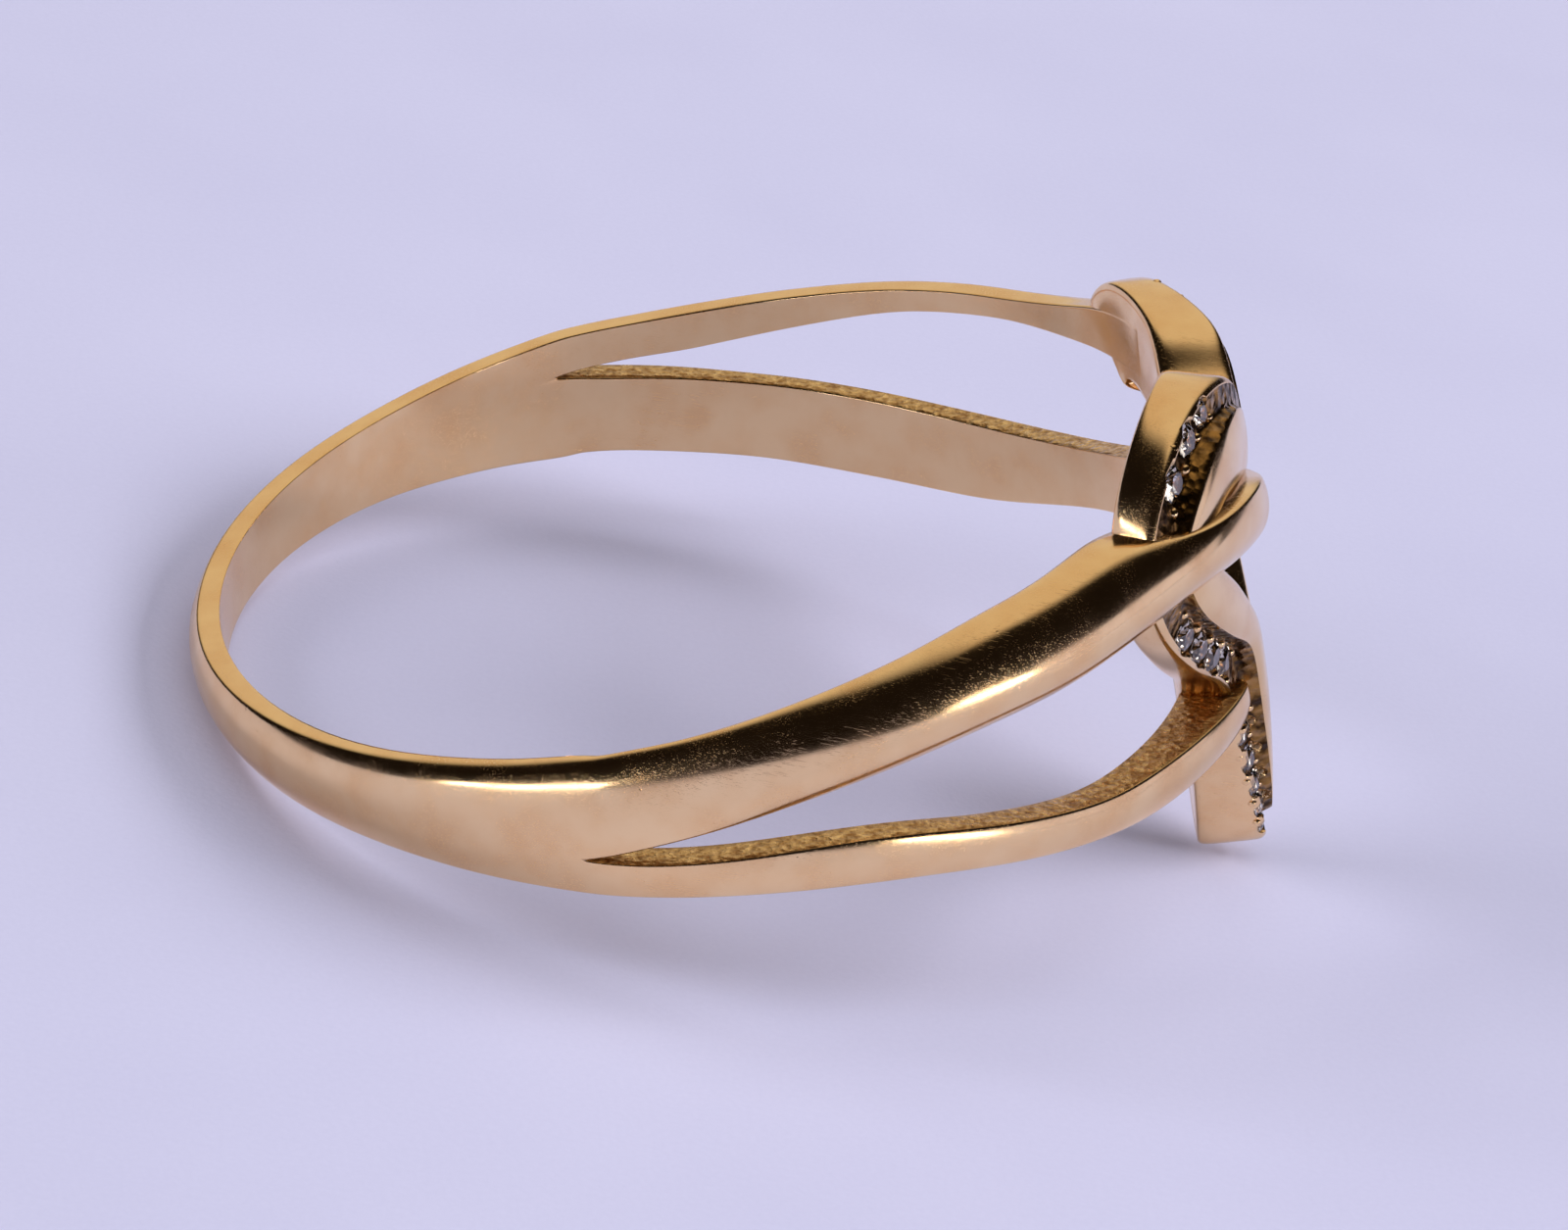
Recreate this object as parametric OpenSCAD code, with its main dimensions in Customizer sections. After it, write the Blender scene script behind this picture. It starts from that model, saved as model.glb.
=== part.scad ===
// Heart ring: a plain shank that forks at both shoulders, and an open heart set with small stones.
// The wide fork on the near side passes over the heart, and goes on under it to the other shoulder.
// Everything is laid out round the finger hole first, and the last step lays the ring on its side.

/* [Ring] */
// Inside diameter of the ring, over the finger
finger_d = 17.3; // [14:0.1:22]
// Spread of the forks along the finger, 1 is as in the photo
fork_spread = 1; // [0.8:0.02:1.2]

/* [Heart] */
// Height of the heart against the photo's
heart_tall = 1; // [0.8:0.02:1.2]
// Height of the far lobe against the near one
far_lobe = 0.86; // [0.8:0.02:1]
// Depth of the recess that holds the stones
recess = 0.16; // [0.05:0.01:0.3]

/* [Stones] */
// Diameter of a stone against the width of its recess
stone_fill = 0.92; // [0.8:0.01:1.1]
// Distance between neighbouring stones, in stone diameters
stone_pitch = 1.29; // [1.05:0.01:1.5]
// Clearance between a stone and its seat, in stone diameters
stone_gap = 0.035; // [0.02:0.005:0.06]
// Radius of the small beads that hold the stones, in stone diameters
bead_r = 0.14; // [0.08:0.01:0.2]

/* [View] */
// Which piece to show

/* [Hidden] */
bore_r = finger_d / 2;
// everything outside the bore is measured from this radius
ring_grow = bore_r - 8.65;
core_r = bore_r - 0.35;
turn_step = 4;
fork_turn = 76;
// place of the wide fork's crown between the slot and its high edge
crown_place = 0.36;
thin_end = 174;
gold = [0.85, 0.63, 0.32];
clear_stone = [0.9, 0.92, 0.95];

// Near half of the band, by turn from the back of the shank: turn, low edge, low and high side of
// the slot, high edge at bore, high edge outside, crown radius, low edge radius, high edge radius,
// crown radius of the thin fork
near_band = [
    [  0, -0.55, -0.14, -0.08,  0.55,  0.55,  9.27,  9.06,  9.06,  9.27],
    [ 20, -0.62, -0.18, -0.12,  0.62,  0.62,  9.27,  9.06,  9.06,  9.27],
    [ 35, -0.70, -0.23, -0.17,  0.70,  0.70,  9.27,  9.06,  9.06,  9.27],
    [ 50, -0.80, -0.29, -0.23,  0.84,  0.86,  9.28,  9.06,  9.06,  9.28],
    [ 63, -0.97, -0.34, -0.28,  1.04,  1.10,  9.29,  9.07,  9.03,  9.29],
    [ 70, -1.07, -0.38, -0.32,  1.14,  1.21,  9.30,  9.08,  8.98,  9.30],
    [ 76, -1.17, -0.42, -0.34,  1.28,  1.36,  9.31,  9.08,  8.93,  9.30],
    [ 81, -1.23, -0.50, -0.19,  1.41,  1.49,  9.32,  9.08,  8.89,  9.30],
    [ 86, -1.28, -0.53, -0.05,  1.53,  1.61,  9.34,  9.08,  8.86,  9.29],
    [ 92, -1.34, -0.54,  0.11,  1.71,  1.79,  9.37,  9.08,  8.83,  9.28],
    [ 98, -1.42, -0.55,  0.27,  1.90,  1.98,  9.41,  9.08,  8.81,  9.27],
    [104, -1.53, -0.62,  0.41,  2.08,  2.16,  9.47,  9.08,  8.80,  9.26],
    [110, -1.67, -0.76,  0.55,  2.24,  2.31,  9.54,  9.08,  8.79,  9.26],
    [116, -1.86, -1.00,  0.66,  2.41,  2.49,  9.62,  9.09,  8.80,  9.27],
    [122, -2.08, -1.25,  0.73,  2.56,  2.64,  9.70,  9.10,  8.82,  9.29],
    [130, -2.36, -1.56,  0.78,  2.62,  2.70,  9.77,  9.18,  8.86,  9.33],
    [136, -2.54, -1.76,  0.88,  2.71,  2.79,  9.82,  9.28,  8.90,  9.37],
    [142, -2.70, -1.86,  1.02,  2.74,  2.78,  9.90,  9.44,  9.08,  9.43],
    [150, -2.80, -1.95,  1.05,  2.38,  2.36, 10.06,  9.62,  9.78,  9.54],
    [158, -2.86, -2.06,  0.84,  2.14,  2.12, 10.22,  9.75, 10.12,  9.72],
    [165, -2.92, -2.18,  0.52,  1.93,  1.92, 10.33,  9.84, 10.23,  9.88],
    [170, -2.96, -2.28,  0.22,  1.70,  1.70, 10.38,  9.86, 10.28,  9.94],
    [175, -3.00, -2.40, -0.20,  1.40,  1.40, 10.40,  9.87, 10.30,  9.94],
    [180, -3.60, -2.70, -0.64,  1.06,  1.06, 10.40,  9.88,  9.88,  9.56]
];
// The far half after the fork, seen after half a turn about the head's axis, in the same columns
far_band = [
    [ 70, -1.07, -0.38, -0.32,  1.10,  1.14,  9.30,  9.08,  9.08,  9.30],
    [ 76, -1.17, -0.42, -0.34,  1.22,  1.27,  9.31,  9.08,  9.08,  9.30],
    [ 81, -1.20, -0.47, -0.18,  1.38,  1.43,  9.32,  9.08,  8.93,  9.30],
    [ 86, -1.22, -0.50, -0.06,  1.52,  1.58,  9.34,  9.08,  8.91,  9.29],
    [ 92, -1.28, -0.52,  0.08,  1.68,  1.76,  9.37,  9.08,  8.90,  9.28],
    [ 98, -1.37, -0.66,  0.23,  1.82,  1.93,  9.41,  9.08,  8.90,  9.27],
    [104, -1.49, -0.84,  0.35,  1.97,  2.10,  9.46,  9.08,  8.92,  9.26],
    [110, -1.61, -1.03,  0.49,  2.14,  2.28,  9.51,  9.08,  8.95,  9.26],
    [116, -1.75, -1.25,  0.60,  2.25,  2.42,  9.56,  9.08,  8.99,  9.26],
    [122, -1.87, -1.43,  0.70,  2.33,  2.50,  9.60,  9.08,  9.04,  9.26],
    [130, -2.01, -1.58,  0.76,  2.34,  2.46,  9.62,  9.10,  9.09,  9.27],
    [138, -2.14, -1.72,  0.72,  2.14,  2.20,  9.62,  9.12,  9.14,  9.28],
    [147, -2.42, -1.80,  0.52,  1.76,  1.80,  9.62,  9.14,  9.20,  9.32],
    [155, -2.80, -1.95,  0.22,  1.42,  1.44,  9.66,  9.20,  9.36,  9.38],
    [163, -3.05, -2.05, -0.18,  1.14,  1.15,  9.80,  9.34,  9.44,  9.42],
    [170, -3.20, -2.15, -0.56,  0.92,  0.92, 10.05,  9.58,  9.62,  9.46],
    [175, -3.30, -2.25, -0.84,  0.78,  0.78, 10.25,  9.76,  9.77,  9.50],
    [180, -3.40, -2.35, -1.06,  0.64,  0.64, 10.40,  9.88,  9.88,  9.50]
];

// Half of the heart from the cleft to the point: turn from the head's middle and height of the
// outer edge, the same for the inner edge, radius of the outer rim and of the inner crest, for
// the far half its share of the turn and the radius of the back, of the rim and of the crest,
// and the width of the recess
heart = [
    [ 0.0,  2.62,  0.0,  1.00,  9.98, 10.04, 0.90, 8.20, 10.00, 10.04, 0.30],
    [ 3.4,  2.95,  3.2,  1.16,  9.96, 10.03, 0.90, 8.20,  9.98, 10.06, 0.34],
    [ 5.8,  3.44,  6.2,  1.40,  9.92, 10.01, 0.90, 8.20,  9.95, 10.08, 0.38],
    [ 8.8,  3.88, 10.0,  1.72,  9.86,  9.99, 0.90, 8.20,  9.92, 10.09, 0.42],
    [13.2,  4.18, 14.2,  1.98,  9.72,  9.97, 0.90, 8.20,  9.80, 10.10, 0.48],
    [18.6,  4.28, 18.0,  2.08,  9.56,  9.92, 0.90, 8.20,  9.64, 10.08, 0.60],
    [24.8,  4.14, 21.0,  1.98,  9.50,  9.88, 0.90, 8.20,  9.58, 10.06, 0.74],
    [30.6,  3.58, 22.6,  1.84,  9.50,  9.84, 0.87, 8.25,  9.62, 10.10, 0.78],
    [34.1,  2.92, 23.2,  1.66,  9.50,  9.80, 0.82, 8.70,  9.80, 10.18, 0.78],
    [35.4,  2.25, 23.2,  1.50,  9.50,  9.80, 0.78, 9.30,  9.98, 10.26, 0.76],
    [35.2,  1.50, 22.6,  1.32,  9.50,  9.82, 0.76, 9.54, 10.10, 10.34, 0.72],
    [33.9,  0.80, 21.4,  1.10,  9.50,  9.86, 0.76, 9.58, 10.12, 10.32, 0.70],
    [31.3,  0.12, 19.4,  0.80,  9.50,  9.90, 0.77, 9.54, 10.04, 10.24, 0.70],
    [28.0, -0.44, 17.2,  0.46,  9.50,  9.93, 0.79, 9.40,  9.92, 10.14, 0.70],
    [24.4, -0.98, 14.6,  0.04,  9.52,  9.96, 0.82, 9.15,  9.80, 10.06, 0.70],
    [20.5, -1.42, 11.8, -0.50,  9.54, 10.01, 0.85, 8.80,  9.70, 10.02, 0.70],
    [16.9, -1.86,  9.6, -0.94,  9.58, 10.06, 0.88, 8.40,  9.66, 10.04, 0.70],
    [14.0, -2.56,  8.0, -1.34,  9.62, 10.08, 0.90, 8.20,  9.68, 10.06, 0.70],
    [12.0, -3.28,  6.5, -1.70,  9.66, 10.09, 0.90, 8.20,  9.70, 10.08, 0.68],
    [ 9.2, -4.22,  4.5, -2.16,  9.70, 10.11, 0.90, 8.20,  9.78, 10.11, 0.66],
    [ 6.6, -5.12,  2.7, -2.62,  9.82, 10.12, 0.90, 8.20,  9.86, 10.12, 0.60],
    [ 4.4, -5.86,  1.2, -3.02,  9.90, 10.12, 0.90, 8.20,  9.92, 10.12, 0.54],
    [ 2.4, -6.42,  0.5, -3.18,  9.94, 10.11, 0.90, 8.20,  9.95, 10.11, 0.46],
    [ 0.6, -6.66,  0.1, -3.24,  9.95, 10.10, 0.90, 8.20,  9.95, 10.10, 0.40]
];

// Across the ribbon from the outer wall to the inner one: share of the lip, share of the recess,
// share of what is left, share of the rise from rim to crest, and height above that line
lip = 0.13;
deep = -0.15;
ribbon = [
    [0.00, 0.00, 0.00, 0.00, -0.20],
    [0.25, 0.00, 0.00, 0.00, -0.06],
    [1.00, 0.00, 0.00, 0.02,  0.00],
    [1.00, 0.05, 0.00, 0.03,  deep],
    [1.00, 0.96, 0.00, 0.26,  deep],
    [1.00, 1.00, 0.03, 0.74,  0.03],
    [1.00, 1.00, 0.22, 0.93,  0.05],
    [1.00, 1.00, 0.55, 1.00,  0.04],
    [1.00, 1.00, 0.88, 1.00,  0.00],
    [1.00, 1.00, 1.00, 1.00, -0.14]
];
recess_middle = [1.00, 0.50, 0.00, 0.16, deep];

// Smooth curve through the rows of a table, by its first column
function row_of(t, rows, i = 0) =
    i >= len(rows) - 2 || t < rows[i + 1][0] ? i : row_of(t, rows, i + 1);
function slope(rows, i, c) =
    i <= 0 ? 0
    : i >= len(rows) - 1 ? (rows[i][c] - rows[i - 1][c]) / (rows[i][0] - rows[i - 1][0])
    : (rows[i + 1][c] - rows[i - 1][c]) / (rows[i + 1][0] - rows[i - 1][0]);
function smooth_at(t, rows, c) =
    let (i = row_of(t, rows), h = rows[i + 1][0] - rows[i][0], u = (t - rows[i][0]) / h)
    (2 * u * u * u - 3 * u * u + 1) * rows[i][c] + (u * u * u - 2 * u * u + u) * h * slope(rows, i, c)
    + (3 * u * u - 2 * u * u * u) * rows[i + 1][c] + (u * u * u - u * u) * h * slope(rows, i + 1, c);
function ease(u) = let (v = max(0, min(1, u))) v * v * (3 - 2 * v);
function mix(a, b, u) = a + (b - a) * u;

// Outer radius of a domed band at height z: it is fullest at a share of its width from the low edge,
// and its upper shoulder goes from a flat arch to a full quarter round
function domed(z, low, high, low_r, high_r, crown, crest, full) =
    let (u = (z - low) / max(high - low, 0.001), away = min(1, (u - crest) / (1 - crest)))
    u < crest ? crown - (crown - low_r) * pow(1 - u / crest, 2.4)
    : crown - (crown - high_r) * mix(pow(away, 2.4), 1 - sqrt(1 - away * away), full);
function own(t) = ease((t - fork_turn) / 26);
function full_r(t, z, rows) =
    domed(z, smooth_at(t, rows, 1), smooth_at(t, rows, 5), smooth_at(t, rows, 7),
          smooth_at(t, rows, 8), smooth_at(t, rows, 6), 0.5, ease((t - 40) / 30));
function thick_r(t, z, rows) =
    let (crossing = ease((t - 140) / 16))
    mix(full_r(t, z, rows), domed(z, smooth_at(t, rows, 3), smooth_at(t, rows, 5), smooth_at(t, rows, 7),
                                  smooth_at(t, rows, 8), smooth_at(t, rows, 6),
                                  mix(crown_place, 0.6, crossing), 1 - crossing), own(t));
function thin_r(t, z, rows) =
    mix(full_r(t, z, rows), domed(z, smooth_at(t, rows, 1), smooth_at(t, rows, 2),
                                  smooth_at(t, rows, 9) - 0.16, smooth_at(t, rows, 9) - 0.07,
                                  smooth_at(t, rows, 9), 0.5, 0), own(t));

// A point of the near side at a turn from the back, and the half turn about the head's axis
function near_point(t, r, z) =
    [-(r + ring_grow) * cos(t), -(r + ring_grow) * sin(t), z * fork_spread];
function half_turn(p) = [p[0], -p[1], -p[2]];

// Columns of the band's outside from its low edge to its high edge: shares of the thin fork, which is
// under the slot, then of the wide fork above it
thin_shares = [0, 0.2, 0.4, 0.6, 0.8, 1];
wide_shares = [0, 0.12, 0.25, 0.4, 0.55, 0.7, 0.84, 0.95, 1];
slot_column = len(thin_shares) - 1;
last_column = slot_column + len(wide_shares) - 1;
// at the fork both sides of the slot meet in one line
function slot_side(t, rows, c) =
    t > fork_turn ? smooth_at(t, rows, c) : (smooth_at(t, rows, 2) + smooth_at(t, rows, 3)) / 2;
// a section reaches inwards past the bore, which is cut out later
function side_in(t, z) = [near_point(t, core_r - ring_grow, z), near_point(t, 8.6, z)];
function side_out(t, z) = [near_point(t, 8.6, z), near_point(t, core_r - ring_grow, z)];
function thin_section(t, rows) =
    let (low = smooth_at(t, rows, 1), slot = slot_side(t, rows, 2))
    concat(side_in(t, low),
           [for (u = thin_shares) near_point(t, thin_r(t, mix(low, slot, u), rows), mix(low, slot, u))],
           side_out(t, slot));
function wide_section(t, rows) =
    let (slot = slot_side(t, rows, 3), high = smooth_at(t, rows, 5))
    concat(side_in(t, slot),
           [for (u = wide_shares) near_point(t, thick_r(t, mix(slot, high, u), rows), mix(slot, high, u))],
           side_out(t, smooth_at(t, rows, 4)));
function turned(section) = [for (j = [len(section) - 1 : -1 : 0]) half_turn(section[j])];

// Shares of the height where the columns stand at the near fork; at the far fork they are turned over
fork_low = smooth_at(fork_turn, near_band, 1);
fork_high = smooth_at(fork_turn, near_band, 5);
fork_slot = slot_side(fork_turn, near_band, 2);
column_z = concat([for (u = thin_shares) mix(fork_low, fork_slot, u)],
                  [for (j = [1 : len(wide_shares) - 1]) mix(fork_slot, fork_high, wide_shares[j])]);
column_share = [for (z = column_z) (z - fork_low) / (fork_high - fork_low)];
// a section of the shank, from the far fork at a turn below 0 to the near one; its last point is
// inside the bore, level with the slot
function shank_section(t) =
    let (side = abs(t), blend = ease((t + fork_turn) / (2 * fork_turn)),
         edge_a = smooth_at(side, near_band, 1), edge_b = smooth_at(side, near_band, 5),
         low = t < 0 ? -edge_b : edge_a, high = t < 0 ? -edge_a : edge_b,
         slot = mix(1 - column_share[slot_column], column_share[slot_column], blend))
    concat(side_in(t, low),
           [for (j = [0 : last_column])
               let (z = mix(low, high, mix(1 - column_share[last_column - j], column_share[j], blend)))
               near_point(t, full_r(side, t < 0 ? -z : z, near_band), z)],
           side_out(t, high), [near_point(t, core_r - ring_grow, mix(low, high, slot))]);

// Solid through a list of sections with the same number of points
module through(sections, closed = false) {
    n = len(sections);
    m = len(sections[0]);
    sides = [for (i = [0 : closed ? n - 1 : n - 2]) for (j = [0 : m - 1])
        let (a = i * m + j, b = i * m + (j + 1) % m, c = ((i + 1) % n) * m + (j + 1) % m,
             d = ((i + 1) % n) * m + j)
        each [[a, b, c], [a, c, d]]];
    ends = closed ? [] : [[for (j = [m - 1 : -1 : 0]) j], [for (j = [0 : m - 1]) (n - 1) * m + j]];
    polyhedron(points = [for (s = sections) each s], faces = concat(sides, ends), convexity = 6);
}

// Shank and forks in one piece: the shank ends at both forks, where its last section is shared out
// between the thin and the wide fork
module band() {
    shank = [for (i = [-15 : 15]) shank_section(fork_turn * i / 15)];
    fork_turns = [for (t = [fork_turn + turn_step : turn_step : thin_end]) t];
    near_thin = [for (t = fork_turns) thin_section(t, near_band)];
    far_thin = [for (i = [len(fork_turns) - 1 : -1 : 0]) turned(thin_section(fork_turns[i], far_band))];
    wide = [for (t = [fork_turn + turn_step : turn_step : 360 - fork_turn - turn_step])
        t <= 180 ? wide_section(t, near_band) : turned(wide_section(360 - t, far_band))];
    slot_inside = near_point(fork_turn, 8.6, fork_slot);
    lists = [shank, [[slot_inside, half_turn(slot_inside)]], near_thin, wide, far_thin];
    m = last_column + 6;
    first = [0, m * len(shank), m * len(shank) + 2];
    wide_first = first[2] + len(near_thin) * len(near_thin[0]);
    far_first = wide_first + len(wide) * len(wide[0]);
    near_end = m * (len(shank) - 1);
    // each loop is a list of point numbers round a section
    shank_loops = own_loops(0, len(shank), m);
    near_thin_loops = concat(
        [concat([for (j = [0 : slot_column + 2]) near_end + j], [first[1], near_end + m - 1])],
        own_loops(first[2], len(near_thin), len(near_thin[0])));
    wide_loops = concat(
        [concat([near_end + m - 1, first[1]], [for (j = [slot_column + 2 : m - 2]) near_end + j])],
        own_loops(wide_first, len(wide), len(wide[0])),
        [concat([for (j = [0 : last_column - slot_column + 2]) j], [first[1] + 1, m - 1])]);
    far_thin_loops = concat(
        own_loops(far_first, len(far_thin), len(far_thin[0])),
        [concat([m - 1, first[1] + 1], [for (j = [last_column - slot_column + 2 : m - 2]) j])]);
    polyhedron(points = [for (l = lists) each [for (section = l) each section]],
               faces = concat(along(shank_loops), along(near_thin_loops), along(wide_loops),
                              along(far_thin_loops), [near_thin_loops[len(near_thin_loops) - 1]],
                              [reversed(far_thin_loops[0])]), convexity = 6);
}
function own_loops(start, count, m) = [for (i = [0 : count - 1]) [for (j = [0 : m - 1]) start + i * m + j]];
function along(loops) = [for (i = [0 : len(loops) - 2])
    let (a = loops[i], b = loops[i + 1], m = len(a))
    each [for (j = [0 : m - 1]) each [[a[j], a[(j + 1) % m], b[(j + 1) % m]], [a[j], b[(j + 1) % m], b[j]]]]];
function reversed(v) = [for (j = [len(v) - 1 : -1 : 0]) v[j]];

// Heart ribbon: station s runs from the cleft over the near lobe to the point and back by the far lobe
heart_rows = len(heart);
half_stations = 2 * heart_rows - 1;
heart_indexed = [for (i = [0 : heart_rows - 1]) concat([i], heart[i])];
function heart_value(s, c) = smooth_at(s, heart_indexed, c + 1);
// the lobes lean in a little towards the front, and the far lobe is the lower one
function heart_place(turn, z, r, far) =
    let (low = far && z > 0 ? mix(1, far_lobe, ease(turn / 14)) : 1,
         h = z > 0 ? z * low * (1 - 0.045 * (r - 8.65)) : z,
         a = far ? turn : -turn)
    [(r + ring_grow) * cos(a), (r + ring_grow) * sin(a), h * heart_tall];
// width of the ribbon, and share of it at a row of the table above
function ribbon_width(s) =
    norm([(heart_value(s, 0) - heart_value(s, 2)) * 0.166, heart_value(s, 1) - heart_value(s, 3)]);
function across_share(s, row) =
    let (w = ribbon_width(s), open = heart_value(s, 10), rest = w - lip - open)
    (lip * row[0] + open * row[1] + rest * row[2]) / w;
// distance from the forks that cover the near limb, where the recess closes, as it does at the cleft
function off_band(turn, z) =
    let (t = 180 - turn)
    min(max(z - smooth_at(t, near_band, 5), smooth_at(t, near_band, 3) - z),
        max(z - smooth_at(t, near_band, 2), smooth_at(t, near_band, 1) - z));
function open_at(s, turn, z, far) =
    (far ? 1 : ease((off_band(turn, z) - 0.05) / 0.35)) * ease((s - 3.4) / 1.6);
function ribbon_point(s, row, far) =
    let (rim = heart_value(s, far ? 8 : 4), crest = heart_value(s, far ? 9 : 5),
         u = across_share(s, row),
         turn = mix(heart_value(s, 0), heart_value(s, 2), u),
         z = mix(heart_value(s, 1), heart_value(s, 3), u),
         lift = row[4] == deep ? -recess * open_at(s, turn, z, far) : row[4])
    heart_place(far ? turn * heart_value(s, 6) : turn, z, mix(rim, crest, row[3]) + lift, far);
function back_point(s, u, r, far) =
    heart_place(mix(heart_value(s, 0), heart_value(s, 2), u) * (far ? heart_value(s, 6) : 1),
                mix(heart_value(s, 1), heart_value(s, 3), u), r, far);
// the outer wall has a small chamfer at the back
function ribbon_section(s, far) =
    let (r = far ? heart_value(s, 7) : core_r - ring_grow, edge = 0.1 / ribbon_width(s))
    concat([back_point(s, edge, r, far), back_point(s, edge, max(r + 0.02, 8.62), far),
            back_point(s, 0, max(r + 0.15, 8.8), far)],
           [for (row = ribbon) ribbon_point(s, row, far)],
           [back_point(s, 1, r, far)]);
near_stations = [for (i = [0 : half_stations - 1]) i / 2];
module heart_ribbon() {
    through(concat([for (s = near_stations) ribbon_section(s, false)],
                   [for (i = [half_stations - 1 : -1 : 1]) ribbon_section(i / 2, true)]), closed = true);
}

// Stones: laid along the recess, each as large as the recess is wide
function station_of(p) = p > heart_rows - 1 ? 2 * (heart_rows - 1) - p : p;
function on_far(p) = p > heart_rows - 1;
function seat_at(p) = ribbon_point(station_of(p), recess_middle, on_far(p));
function stone_d(p) = stone_fill * heart_value(station_of(p), 10);
walk = [for (i = [0 : 4 * (heart_rows - 1)]) i / 2];
walk_points = [for (p = walk) seat_at(p)];
// length along the recess, counted in stone diameters
function run_to(i) =
    i == 0 ? 0 : run_to(i - 1) + norm(walk_points[i] - walk_points[i - 1]) / stone_d(walk[i] - 0.25);
runs = [for (i = [0 : len(walk) - 1]) [run_to(i), walk[i]]];
run_all = runs[len(runs) - 1][0];
stone_slots = floor(run_all / stone_pitch);
function slot_place(k) = lookup((k + 0.5) * run_all / stone_slots, runs);
// no stone where the forks cover the near limb, at the cleft or at the point
function bare(p) =
    let (c = seat_at(p), s = station_of(p))
    (!on_far(p) && off_band(abs(atan2(c[1], c[0])), c[2]) < 0.36) || s < 4.3 || s > heart_rows - 2;
stone_places = [for (k = [0 : stone_slots - 1]) if (!bare(slot_place(k))) slot_place(k)];
stone_count = len(stone_places);
function stone_name(i) = str("stone_", i < 9 ? "0" : "", i + 1);
// beads stand between neighbouring stones, and at the ends of each row
bead_places = [for (k = [0 : stone_slots])
    if ((k > 0 && !bare(slot_place(k - 1))) || (k < stone_slots && !bare(slot_place(k))))
        lookup(k * run_all / stone_slots, runs)];

function unit(v) = v / norm(v);
function frame_at(p) =
    let (far = on_far(p), s = station_of(p), o = seat_at(p),
         along = unit(seat_at(min(p + 0.2, 2 * (heart_rows - 1))) - seat_at(max(p - 0.2, 0))),
         over = ribbon_point(s, ribbon[4], far) - ribbon_point(s, ribbon[3], far),
         across = unit(over - along * (over * along)),
         face = cross(along, across),
         up = face * [o[0], o[1], 0] > 0 ? face : -face,
         side = cross(up, along))
    [[along[0], side[0], up[0], o[0]],
     [along[1], side[1], up[1], o[1]],
     [along[2], side[2], up[2], o[2]],
     [0, 0, 0, 1]];

// Round stone of diameter 1 with an eight-sided table, its girdle at z = 0
module cut_stone() {
    table = [for (i = [0 : 7]) [0.28 * cos(45 * i), 0.28 * sin(45 * i), 0.15]];
    girdle_up = [for (i = [0 : 7]) [0.5 * cos(45 * i + 22.5), 0.5 * sin(45 * i + 22.5), 0.02]];
    girdle_low = [for (i = [0 : 7]) [0.5 * cos(45 * i + 22.5), 0.5 * sin(45 * i + 22.5), -0.02]];
    culet = [[0, 0, -0.4]];
    polyhedron(points = concat(table, girdle_up, girdle_low, culet),
               faces = concat([[for (i = [7 : -1 : 0]) i]],
                              [for (i = [0 : 7]) [i, (i + 1) % 8, 8 + i]],
                              [for (i = [0 : 7]) [(i + 1) % 8, 8 + (i + 1) % 8, 8 + i]],
                              [for (i = [0 : 7]) each [[8 + i, 8 + (i + 1) % 8, 16 + (i + 1) % 8],
                                                       [8 + i, 16 + (i + 1) % 8, 16 + i]]],
                              [for (i = [0 : 7]) [16 + i, 16 + (i + 1) % 8, 24]]));
}

// Hole that clears a stone of diameter 1, tapered below the girdle like the stone
module seat() {
    r = 0.5 + stone_gap;
    rotate([0, 0, 22.5])
        rotate_extrude($fn = 8)
            polygon([[0, -0.4 - 1.4 * stone_gap], [r, -0.02 - stone_gap], [r, 0.5], [0, 0.5]]);
}

// Bead that grips the edge of a stone of diameter 1
module bead() {
    rotate_extrude($fn = 10)
        polygon([[0, -0.15], [bead_r, -0.15], [bead_r, 0.05], [0.55 * bead_r, 0.13], [0, 0.13]]);
}

module at_place(p) {
    multmatrix(frame_at(p))
        translate([0, 0, 0.03])
            scale(stone_d(p))
                children();
}

module beads() {
    for (p = bead_places)
        for (side = [-1, 1])
            at_place(p)
                translate([0, 0.44 * side, 0])
                    bead();
}

// All the worked metal outside the finger hole, kept as one mesh at its own size
module worked_metal() {
    resize([0, 0, 0])
    difference() {
        union() {
            band();
            heart_ribbon();
            beads();
        }
        for (p = stone_places)
            at_place(p) seat();
    }
}

module ring_body() {
    color(gold)
    difference() {
        worked_metal();
        cylinder(r = bore_r, h = 30, center = true, $fn = 96);
    }
}

module stone(i) {
    color(clear_stone)
    at_place(stone_places[i]) cut_stone();
}

// The ring lies on the heart's point and on the back of the shank, with the origin under its middle
tip = [bore_r, -6.68 * heart_tall];
back = [-(9.06 + ring_grow), -0.55 * fork_spread];
lie_tilt = atan2(back[1] - tip[1], tip[0] - back[0]);
lie_height = max(-(tip[0] * sin(lie_tilt) + tip[1] * cos(lie_tilt)),
                 -(back[0] * sin(lie_tilt) + back[1] * cos(lie_tilt)));
box_middle = 1.365 * bore_r / 8.65;
module lying() {
    translate([-box_middle, 0, lie_height])
        rotate([0, -lie_tilt, 0])
            children();
}

lying() ring_body();
for (i = [0 : stone_count - 1])
    lying() stone(i);
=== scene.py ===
import math

import bmesh
import bpy
from mathutils import Matrix, Vector


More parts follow.
